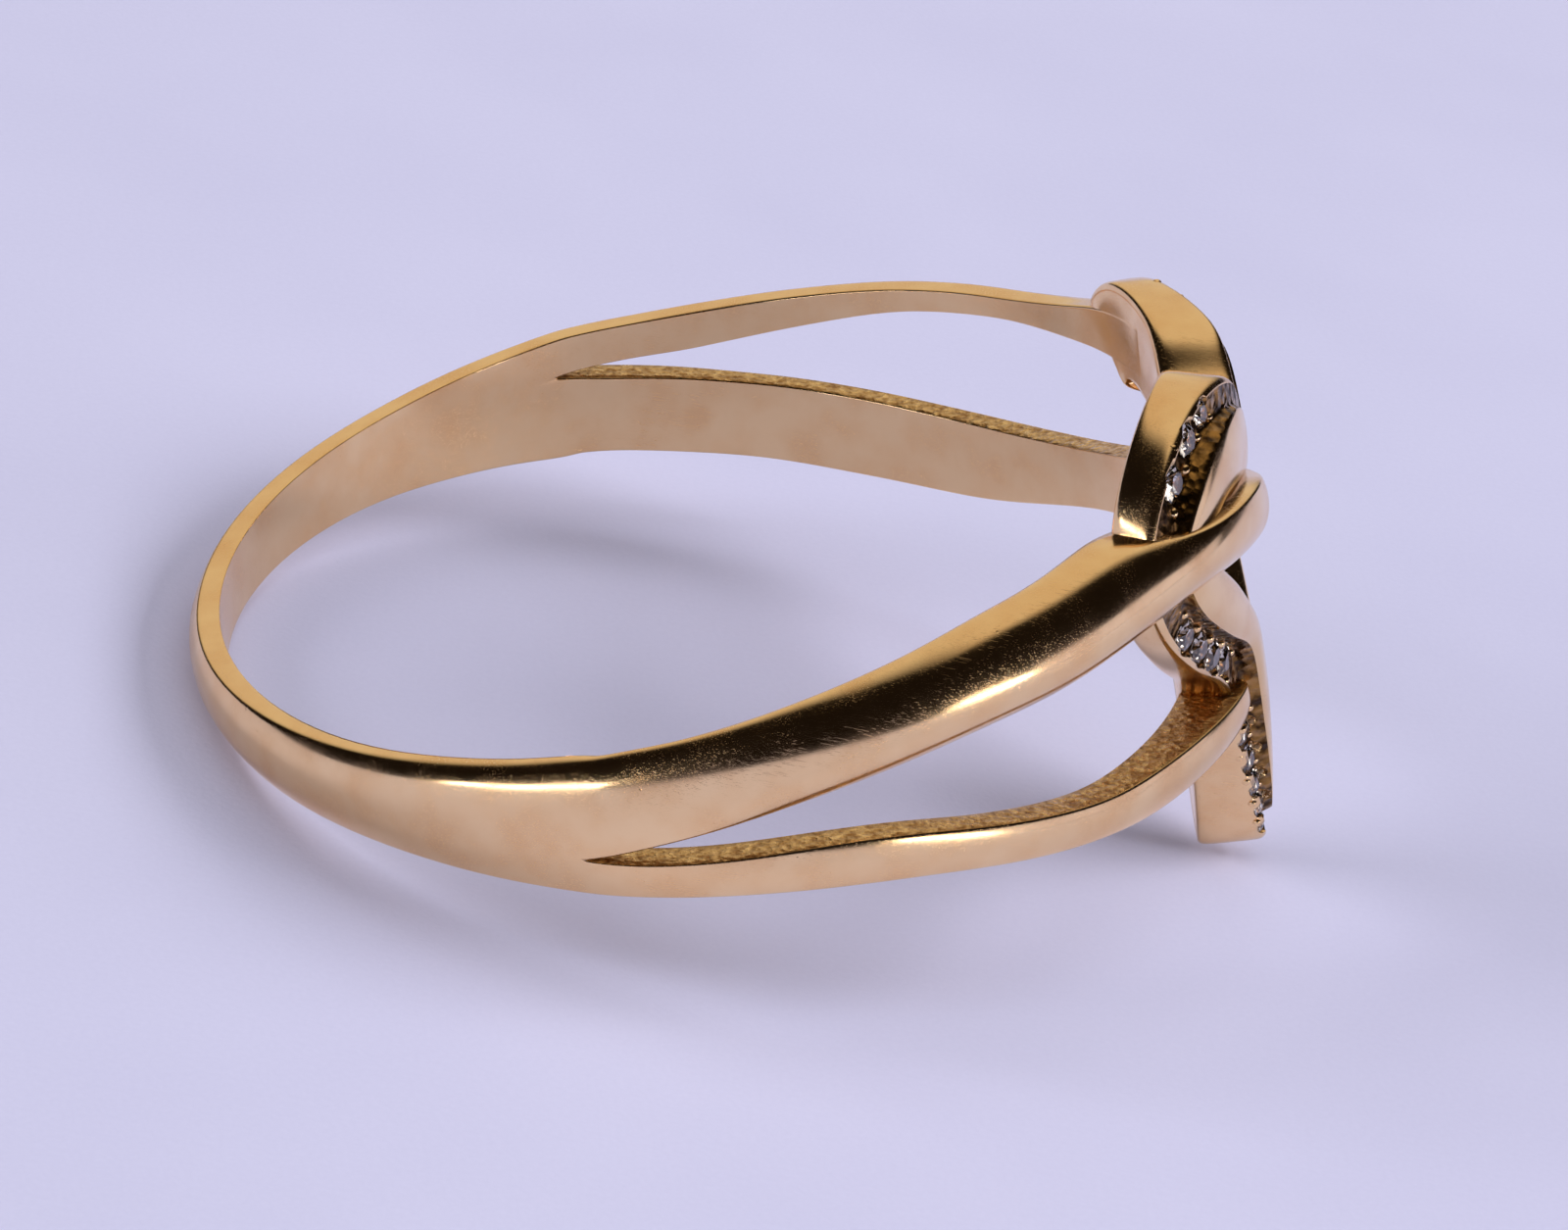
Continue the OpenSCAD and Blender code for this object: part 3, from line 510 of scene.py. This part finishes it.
def off_band(turn, z):
    """Distance in height from the near forks, which cover part of the near limb."""
    t = 180 - turn
    low, slot_low, slot_high, high = (smooth_at(t, NEAR_BAND, c) for c in (LOW, SLOT_LOW, SLOT_HIGH, HIGH))
    return min(max(z - high, slot_high - z), max(z - slot_low, low - z))


def open_at(s, turn, z, far):
    """Share of its full depth that the recess has: none at the cleft or under a fork."""
    clear = 1 if far else ease((off_band(turn, z) - FORK_CLEAR) / FORK_OVER)
    return clear * ease((s - CLEFT_END) / CLEFT_OVER)


def edge_turn(s, u, far):
    turn = mix(heart_value(s, OUT_TURN), heart_value(s, IN_TURN), u)
    return turn * (heart_value(s, FAR_SHARE) if far else 1)


def edge_height(s, u):
    return mix(heart_value(s, OUT_Z), heart_value(s, IN_Z), u)


def ribbon_point(s, row, far):
    lip_share, recess_share, rest_share, rise, height = row
    w, wide = ribbon_width(s), heart_value(s, RECESS_W)
    u = (LIP * lip_share + wide * recess_share + (w - LIP - wide) * rest_share) / w
    z = edge_height(s, u)
    rim = heart_value(s, FAR_RIM_R if far else RIM_R)
    crest = heart_value(s, FAR_CREST_R if far else CREST_R)
    lift = -RECESS * open_at(s, edge_turn(s, u, False), z, far) if height == DEEP else height
    return heart_place(edge_turn(s, u, far), z, mix(rim, crest, rise) + lift, far)


def back_point(s, u, r, far):
    return heart_place(edge_turn(s, u, far), edge_height(s, u), r, far)


def ribbon_section(s, far):
    r = max(BORE_R, heart_value(s, FAR_BACK_R) if far else BORE_R)
    edge = CHAMFER / ribbon_width(s)
    corners = [back_point(s, edge, r, far), back_point(s, 0, r + OUTER_RISE, far)]
    corners += [ribbon_point(s, row, far) for row in RIBBON]
    corners += [back_point(s, 1, r + INNER_RISE, far), back_point(s, 1 - edge, r, far)]
    return dict(enumerate(corners))


LAST_ROW = len(HEART) - 1
RECESS_MIDDLE = (1.00, 0.50, 0.00, 0.16, DEEP)


def station_of(p):
    return 2 * LAST_ROW - p if p > LAST_ROW else p


def seat_at(p):
    return ribbon_point(station_of(p), RECESS_MIDDLE, p > LAST_ROW)


def stone_d(p):
    return STONE_FILL * heart_value(station_of(p), RECESS_W)


def recess_runs():
    """Length along the recess, counted in stone diameters, with the station it belongs to."""
    runs = [(0.0, 0.0)]
    for i in range(1, 4 * LAST_ROW + 1):
        step = (seat_at(i / 2) - seat_at(i / 2 - 0.5)).length / stone_d(i / 2 - 0.25)
        runs.append((runs[-1][0] + step, i / 2))
    return runs


def bead_places():
    """Stations of the beads, between neighbouring stones and at the ends of each row."""
    runs = recess_runs()
    length = runs[-1][0]
    slots = math.floor(length / STONE_PITCH)

    def station(run):
        i = next(k for k in range(1, len(runs)) if runs[k][0] >= run - 1e-9)
        (a, p), (b, q) = runs[i - 1], runs[i]
        return mix(p, q, (run - a) / (b - a))

    def bare(k):
        p = station((k + 0.5) * length / slots)
        c, s = seat_at(p), station_of(p)
        near = p <= LAST_ROW
        turn = abs(math.degrees(math.atan2(c[1], c[0])))
        covered = near and off_band(turn, c[2]) < STONE_CLEAR
        return covered or s < FIRST_STONE or s > LAST_ROW - 1

    set_stones = [0 <= k < slots and not bare(k) for k in range(-1, slots + 1)]
    beads = [station(k * length / slots) for k in range(slots + 1) if set_stones[k] or set_stones[k + 1]]
    stones = [station((k + 0.5) * length / slots) for k in range(slots) if set_stones[k + 1]]
    return beads, stones


def frame_at(p):
    """Place on the recess: X along it, Y across, Z out of the metal, one unit a stone's diameter."""
    far, s, o = p > LAST_ROW, station_of(p), seat_at(p)
    along = (seat_at(min(p + LOOK, 2 * LAST_ROW)) - seat_at(max(p - LOOK, 0))).normalized()
    over = ribbon_point(s, RIBBON[4], far) - ribbon_point(s, RIBBON[3], far)
    across = (over - along * over.dot(along)).normalized()
    up = along.cross(across)
    if up.dot(Vector((o[0], o[1], 0))) < 0:
        up = -up
    side = up.cross(along)
    place = Matrix((along, side, up)).transposed().to_4x4()
    place.translation = o
    return place @ Matrix.Translation((0, 0, STONE_RISE)) @ Matrix.Scale(stone_d(p), 4)


# Modelling

CAST, GRAINED = 1, 2              # places of these finishes on a cage, after the polished gold
SMOOTHING = 2                     # levels of subdivision
# How sharp an edge stays when smoothed, from 0 to 1
BORE_EDGE, LOW_EDGE, HIGH_EDGE, SLOT_EDGE = 0.55, 0.5, 0.3, 0.75
EDGE_TURN = 40                    # past this turn the high edge of each half is left round
FLOOR_EDGE, RECESS_EDGE, INNER_EDGE, OUTER_EDGE = 0.6, 0.7, 0.4, 0.3
# Tapered cutter for the seats and the beads, all in stone diameters
SEAT_TIP_R, SEAT_TOP_R, SEAT_DEEP, SEAT_ABOVE = 0.02, 0.535, 0.45, 0.5
BEAD_R, BEAD_ASIDE, BEAD_DROP = 0.15, 0.44, -0.02
BEAD_FOOT = (1.1, 1.1, 1.3)       # how far the lower half of a bead is drawn out


def show(bm, chosen):
    """Select these corners, edges or faces and nothing else."""
    bpy.ops.mesh.select_all(action="DESELECT")
    for part in chosen:
        part.select_set(True)
    bm.select_flush_mode()


class Cage:
    """A piece under way in edit mode; every corner knows its station and its place in the section."""

    def __init__(self, name):
        self.piece = bpy.context.object
        self.piece.name = name
        self.tag = {}
        for finish in (gold, cast_gold, shaded_recess_gold):
            self.piece.data.materials.append(finish)
        bpy.ops.object.mode_set(mode="EDIT")
        bpy.ops.mesh.select_mode(type="VERT")

    def mesh(self):
        bm = bmesh.from_edit_mesh(self.piece.data)
        bm.verts.ensure_lookup_table()
        bm.verts.index_update()
        return bm

    def set_down(self, corners, places, station):
        """Bring each corner (key: vertex) to its place."""
        bpy.ops.mesh.select_all(action="DESELECT")
        for key, v in corners.items():
            v.select = True
            bpy.ops.transform.translate(value=places[key] - v.co)
            v.select = False
            self.tag[v.index] = (station, key)

    def carry_on(self, cap, before, places, station):
        """Extrude the end faces once more, and set the new corners down in the next section."""
        bm = self.mesh()
        bpy.ops.mesh.select_mode(type="FACE")
        show(bm, cap)
        bpy.ops.mesh.extrude_region_move()
        bpy.ops.mesh.select_mode(type="VERT")
        bm = self.mesh()
        cap = [f for f in bm.faces if f.select]
        spots = {tuple(round(x, 5) for x in v.co): key for key, v in before.items() if key in places}
        after = {spots[tuple(round(x, 5) for x in v.co)]: v for v in bm.verts if v.select}
        self.set_down(after, places, station)
        return cap, after

    def crease(self, keys, value, stations=lambda s: True):
        """Sharpen the edges that run on from station to station at these places of the section."""
        bpy.ops.mesh.select_mode(type="EDGE")
        bm = self.mesh()
        ends = [[self.tag[v.index] for v in e.verts] for e in bm.edges]
        show(bm, [e for e, (a, b) in zip(bm.edges, ends)
                  if a[1] == b[1] and a[1] in keys and stations(a[0]) and stations(b[0])])
        bpy.ops.transform.edge_crease(value=value)
        bpy.ops.mesh.select_mode(type="VERT")

    def crease_tip(self, key, station):
        """Sharpen the edge between the inner and the outer side at one place of one section."""
        bpy.ops.mesh.select_mode(type="EDGE")
        bm = self.mesh()
        tip = {(station, (key, False)), (station, (key, True))}
        show(bm, [e for e in bm.edges if {self.tag[v.index] for v in e.verts} == tip])
        bpy.ops.transform.edge_crease(value=1)
        bpy.ops.mesh.select_mode(type="VERT")

    def finish_faces(self, number, wanted):
        """Give a finish to the faces whose corners all pass wanted(station, place)."""
        bpy.ops.mesh.select_mode(type="FACE")
        bm = self.mesh()
        show(bm, [f for f in bm.faces if all(wanted(*self.tag[v.index]) for v in f.verts)])
        self.piece.active_material_index = number
        bpy.ops.object.material_slot_assign()
        bpy.ops.mesh.select_mode(type="VERT")

    def bridge_ends(self):
        """Close the gap between the two open ends with faces."""
        bpy.ops.mesh.select_mode(type="EDGE")
        bm = self.mesh()
        show(bm, [e for e in bm.edges if len(e.link_faces) == 1])
        bpy.ops.mesh.bridge_edge_loops()

    def done(self):
        bpy.ops.object.mode_set(mode="OBJECT")
        return self.piece


def smoothed(piece):
    bpy.ops.object.select_all(action="DESELECT")
    piece.select_set(True)
    bpy.context.view_layer.objects.active = piece
    soft = piece.modifiers.new("smooth", "SUBSURF")
    soft.levels = soft.render_levels = SMOOTHING
    bpy.ops.object.modifier_apply(modifier=soft.name)
    bpy.ops.object.shade_smooth()
    return piece


def build_band():
    """Shank, both forks of each shoulder, and the wide fork that crosses the heart to the other side."""
    bpy.ops.object.select_all(action="DESELECT")
    bpy.ops.mesh.primitive_grid_add(x_subdivisions=LAST, y_subdivisions=1, size=1)
    cage = Cage("band")
    bm = cage.mesh()
    grid = sorted(bm.verts, key=lambda v: (round(v.co.x, 4), v.co.y))
    corners = {(j, outer): grid[2 * j + outer] for j in range(LAST + 1) for outer in (False, True)}
    cage.set_down(corners, shank_section(-FORK_TURN), -FORK_TURN)
    far_end = dict(corners)
    cap = list(cage.mesh().faces)
    for t in SHANK_TURNS:
        cap, corners = cage.carry_on(cap, corners, shank_section(t), t)
    thin, wide = list(range(SLOT + 1)), list(range(SLOT, LAST + 1))

    ends = {}
    for far in (False, True):
        corners_now = far_end if far else corners
        rows = FAR_BAND if far else NEAR_BAND
        for columns in (thin, wide):
            keys = [LAST - j for j in columns] if far else columns
            bm = cage.mesh()
            before = {(j, o): corners_now[j, o] for j in keys for o in (False, True)}
            spots = {v.index for v in before.values()}
            cap = [f for f in bm.faces if all(v.index in spots for v in f.verts)]
            for t in FORK_TURNS + ((LAST_WIDE_TURN,) if columns is wide else ()):
                section = fork_section(t, rows, columns)
                if far:
                    section = {(LAST - j, o): half_turn(p) for (j, o), p in section.items()}
                cap, before = cage.carry_on(cap, before, section, -t if far else t)
            ends[far, columns is wide] = cap
    bm = cage.mesh()
    bpy.ops.mesh.select_mode(type="FACE")
    show(bm, ends[False, True] + ends[True, True])
    bpy.ops.mesh.delete(type="FACE")
    far_slot = LAST - SLOT

    def slot_wall(station, key):
        return key[0] == (SLOT if station > 0 else far_slot) and abs(station) >= FORK_TURN

    cage.finish_faces(CAST, slot_wall)
    cage.crease([(0, False), (LAST, False)], BORE_EDGE)
    cage.crease([(0, True)], LOW_EDGE, lambda t: t > -EDGE_TURN)
    cage.crease([(LAST, True)], HIGH_EDGE, lambda t: t < EDGE_TURN)
    cage.crease_tip(SLOT, FORK_TURN)
    cage.crease_tip(far_slot, -FORK_TURN)
    for outer in (True, False):
        cage.crease([(SLOT, outer)], SLOT_EDGE, lambda t: t >= FORK_TURN)
        cage.crease([(far_slot, outer)], SLOT_EDGE, lambda t: t <= -FORK_TURN)
    cage.bridge_ends()
    return cage.done()


def build_heart():
    """Open heart with a recess for the stones, drawn out section by section round the heart."""
    count = len(ribbon_section(0, False))
    bpy.ops.object.select_all(action="DESELECT")
    bpy.ops.mesh.primitive_circle_add(vertices=count, radius=1, fill_type="NGON")
    cage = Cage("heart")
    bm = cage.mesh()
    corners = {j: bm.verts[j] for j in range(count)}
    cage.set_down(corners, ribbon_section(0, False), 0)
    cap = list(cage.mesh().faces)
    stops = [(s, False) for s in range(1, len(HEART))] + [(s, True) for s in range(len(HEART) - 2, 0, -1)]
    for i, (s, far) in enumerate(stops):
        cap, corners = cage.carry_on(cap, corners, ribbon_section(s, far), i + 1)
    bpy.ops.mesh.select_mode(type="FACE")
    bm = cage.mesh()
    show(bm, [f for f in bm.faces if len(f.verts) == count])
    bpy.ops.mesh.delete(type="FACE")
    cage.bridge_ends()
    cage.finish_faces(GRAINED, lambda station, key: LIP_CORNER <= key <= CREST_FOOT)
    cage.crease([FLOOR_OUTER, FLOOR_INNER], FLOOR_EDGE)
    cage.crease([LIP_CORNER, CREST_FOOT], RECESS_EDGE)
    cage.crease(BACK_AND_INNER_WALL, INNER_EDGE)
    cage.crease(OUTER_WALL, OUTER_EDGE)
    return cage.done()


def joined(pieces, name):
    """Join pieces into one mesh, with their places applied."""
    bpy.ops.object.select_all(action="DESELECT")
    for piece in pieces:
        piece.select_set(True)
    bpy.context.view_layer.objects.active = pieces[0]
    bpy.ops.object.transform_apply(location=True, rotation=True, scale=True)
    bpy.ops.object.join()
    pieces[0].name = name
    return pieces[0]


def cut_seats(heart, stones):
    """Cut a tapered seat under each stone."""
    bpy.ops.object.select_all(action="DESELECT")
    bpy.ops.mesh.primitive_cone_add(vertices=16, radius1=SEAT_TIP_R, radius2=SEAT_TOP_R, depth=SEAT_DEEP,
                                    location=(0, 0, -SEAT_DEEP / 2))
    cutter = bpy.context.object
    bpy.ops.object.mode_set(mode="EDIT")
    bm = bmesh.from_edit_mesh(cutter.data)
    bpy.ops.mesh.select_mode(type="FACE")
    show(bm, [f for f in bm.faces if f.normal.z > 0.9])
    bpy.ops.mesh.extrude_region_move(TRANSFORM_OT_translate={"value": (0, 0, SEAT_ABOVE)})
    bpy.ops.object.mode_set(mode="OBJECT")
    bpy.ops.object.transform_apply(location=True, rotation=True, scale=True)
    copies = []
    for p in stones:
        copy = bpy.data.objects.new("seat", cutter.data.copy())
        bpy.context.scene.collection.objects.link(copy)
        copy.matrix_world = frame_at(p)
        copies.append(copy)
    bpy.data.objects.remove(cutter)
    cutters = joined(copies, "seats")
    bpy.ops.object.select_all(action="DESELECT")
    bpy.context.view_layer.objects.active = heart
    heart.select_set(True)
    cut = heart.modifiers.new("seats", "BOOLEAN")
    cut.object = cutters
    cut.operation = "DIFFERENCE"
    cut.solver = "EXACT"
    bpy.ops.object.modifier_apply(modifier=cut.name)
    bpy.data.objects.remove(cutters)


def build_beads(places):
    """Beads raised from the metal at both edges of the recess, which grip the stones."""
    bpy.ops.object.select_all(action="DESELECT")
    bpy.ops.mesh.primitive_uv_sphere_add(segments=12, ring_count=8, radius=BEAD_R, location=(0, 0, 0))
    first = bpy.context.object
    first.data.materials.append(gold)
    bpy.ops.object.mode_set(mode="EDIT")
    bm = bmesh.from_edit_mesh(first.data)
    bpy.ops.mesh.select_mode(type="FACE")
    show(bm, [f for f in bm.faces if f.calc_center_median().z < 0])
    bpy.ops.transform.resize(value=BEAD_FOOT, center_override=(0, 0, 0))
    bpy.ops.object.mode_set(mode="OBJECT")
    bpy.ops.object.shade_smooth()
    copies = []
    for p in places:
        for side in (-1, 1):
            copy = bpy.data.objects.new("bead", first.data.copy())
            bpy.context.scene.collection.objects.link(copy)
            copy.matrix_world = frame_at(p) @ Matrix.Translation((0, BEAD_ASIDE * side, BEAD_DROP))
            copies.append(copy)
    bpy.data.objects.remove(first)
    return joined(copies, "beads")


band_piece = smoothed(build_band())
heart_piece = smoothed(build_heart())
bead_stations, stone_stations = bead_places()
cut_seats(heart_piece, stone_stations)
beads_piece = build_beads(bead_stations)

ring_metal = joined([band_piece, heart_piece, beads_piece], "ring_metal")
ring_metal.matrix_world = LIE @ Matrix.Scale(MM, 4)
bpy.ops.object.transform_apply(location=True, rotation=True, scale=True)
bpy.ops.object.mode_set(mode="EDIT")
bpy.ops.mesh.select_all(action="SELECT")
bpy.ops.mesh.normals_make_consistent(inside=False)
bpy.ops.object.mode_set(mode="OBJECT")
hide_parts("ring_body")
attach(ring_metal, "root")

# Camera: looks across the ring from its near side, as in the photo
PHOTO_W, PHOTO_H = 1600, 1255
RISE, ROLL = math.radians(27.42), math.radians(-6.45)
REACH = 114.7                     # mm from the middle of the finger hole
SCALE_AT_RING = 56.48             # photo pixels per mm there
RING_PX = (711.1, 593.3)          # where the middle of the finger hole falls in the photo
SENSOR_W = 36

toward = Vector((0, -math.cos(RISE), math.sin(RISE)))
level_up = Vector((1, 0, 0)).cross(-toward)
cam_right = math.cos(ROLL) * Vector((1, 0, 0)) + math.sin(ROLL) * level_up
cam_up = -math.sin(ROLL) * Vector((1, 0, 0)) + math.cos(ROLL) * level_up
turn = LIE.to_3x3() @ Matrix((cam_right, cam_up, toward)).transposed()
spot = LIE @ (toward * REACH * MM)
cam_data = bpy.data.cameras.new("camera")
cam_data.sensor_width = SENSOR_W
cam_data.lens = SCALE_AT_RING * REACH / PHOTO_W * SENSOR_W
cam_data.shift_x = (PHOTO_W / 2 - RING_PX[0]) / PHOTO_W
cam_data.shift_y = (RING_PX[1] - PHOTO_H / 2) / PHOTO_W
cam_data.clip_start = 0.001
camera = bpy.data.objects.new("camera", cam_data)
camera.matrix_world = Matrix.Translation(spot) @ turn.to_4x4()
bpy.context.scene.collection.objects.link(camera)
bpy.context.scene.camera = camera


for name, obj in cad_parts.items():
    obj.data.materials.clear()
    obj.data.materials.append(gold if name == "ring_body" else stone_finish)

bpy.ops.object.select_all(action="DESELECT")
bpy.ops.mesh.primitive_plane_add(size=1.0, location=(0, 0, 0))
floor = bpy.context.object
floor.name = "paper_floor"
floor.data.materials.append(pale_paper())


# Where the room turns from dark to light, by height plus depth, less what lies to the side
ROOM_DARK_TO = 0.56
ROOM_LIGHT_FROM = 0.92
ROOM_LIGHT = 0.95


def room():
    """Room that the gold reflects: light overhead and on the far side, and dark to both sides and behind
    the camera. Diffuse rays don't see it, so the paper shows it only in its faint gloss."""
    world = bpy.context.scene.world or bpy.data.worlds.new("room")
    bpy.context.scene.world = world
    world.use_nodes = True
    tree = world.node_tree
    way = node(tree, "ShaderNodeSeparateXYZ", {0: node(tree, "ShaderNodeTexCoord").outputs["Generated"]})
    aside = math_of(tree, "ABSOLUTE", way.outputs["X"], 0)
    back = math_of(tree, "SUBTRACT", way.outputs["Y"], aside)
    tall = math_of(tree, "ADD", way.outputs["Z"], back)
    light = ranged(tree, tall, ROOM_DARK_TO, ROOM_LIGHT_FROM)
    colour = blend(tree, light, "17120E", "DED0B6")
    tree.links.new(colour, tree.nodes["Background"].inputs["Color"])
    tree.nodes["Background"].inputs["Strength"].default_value = ROOM_LIGHT
    world.cycles_visibility.diffuse = False


def lamp(name, azimuth, height, reach, size, power, in_gold=True, tint="FFFFFF", aim=(0, 0, 0.004)):
    """Soft rectangular lamp at an azimuth from the camera's side (0), turning to the right; a lamp
    that isn't seen in the gold lights the paper only."""
    data = bpy.data.lights.new(name, "AREA")
    data.shape = "RECTANGLE"
    data.size, data.size_y = size
    data.energy = power
    data.color = lin(tint)[:3]
    a, e = math.radians(azimuth), math.radians(height)
    place = reach * Vector((math.sin(a) * math.cos(e), -math.cos(a) * math.cos(e), math.sin(e)))
    obj = bpy.data.objects.new(name, data)
    way = Vector(aim) - place
    obj.matrix_world = Matrix.Translation(place) @ way.to_track_quat("-Z", "Y").to_matrix().to_4x4()
    obj.visible_glossy = in_gold
    bpy.context.scene.collection.objects.link(obj)


room()
# Angles in degrees, distances and sizes in metres, power in watts
lamp("overhead_light", 0, 88, 0.90, (1.0, 1.0), 3.5, in_gold=False)
lamp("right_light", 85, 38, 0.90, (0.70, 0.50), 6.6, in_gold=False)
lamp("left_light", -80, 24, 0.80, (0.45, 0.35), 3.2, in_gold=False)
lamp("low_light_left", -50, 3.5, 0.45, (0.30, 0.036), 0.26)
lamp("low_light_right", 50, 4, 0.45, (0.16, 0.030), 0.20)
lamp("low_wall_right", 86, 7, 0.45, (0.42, 0.10), 0.13, tint="DCD8F4")
bpy.context.scene.view_settings.view_transform = "Standard"
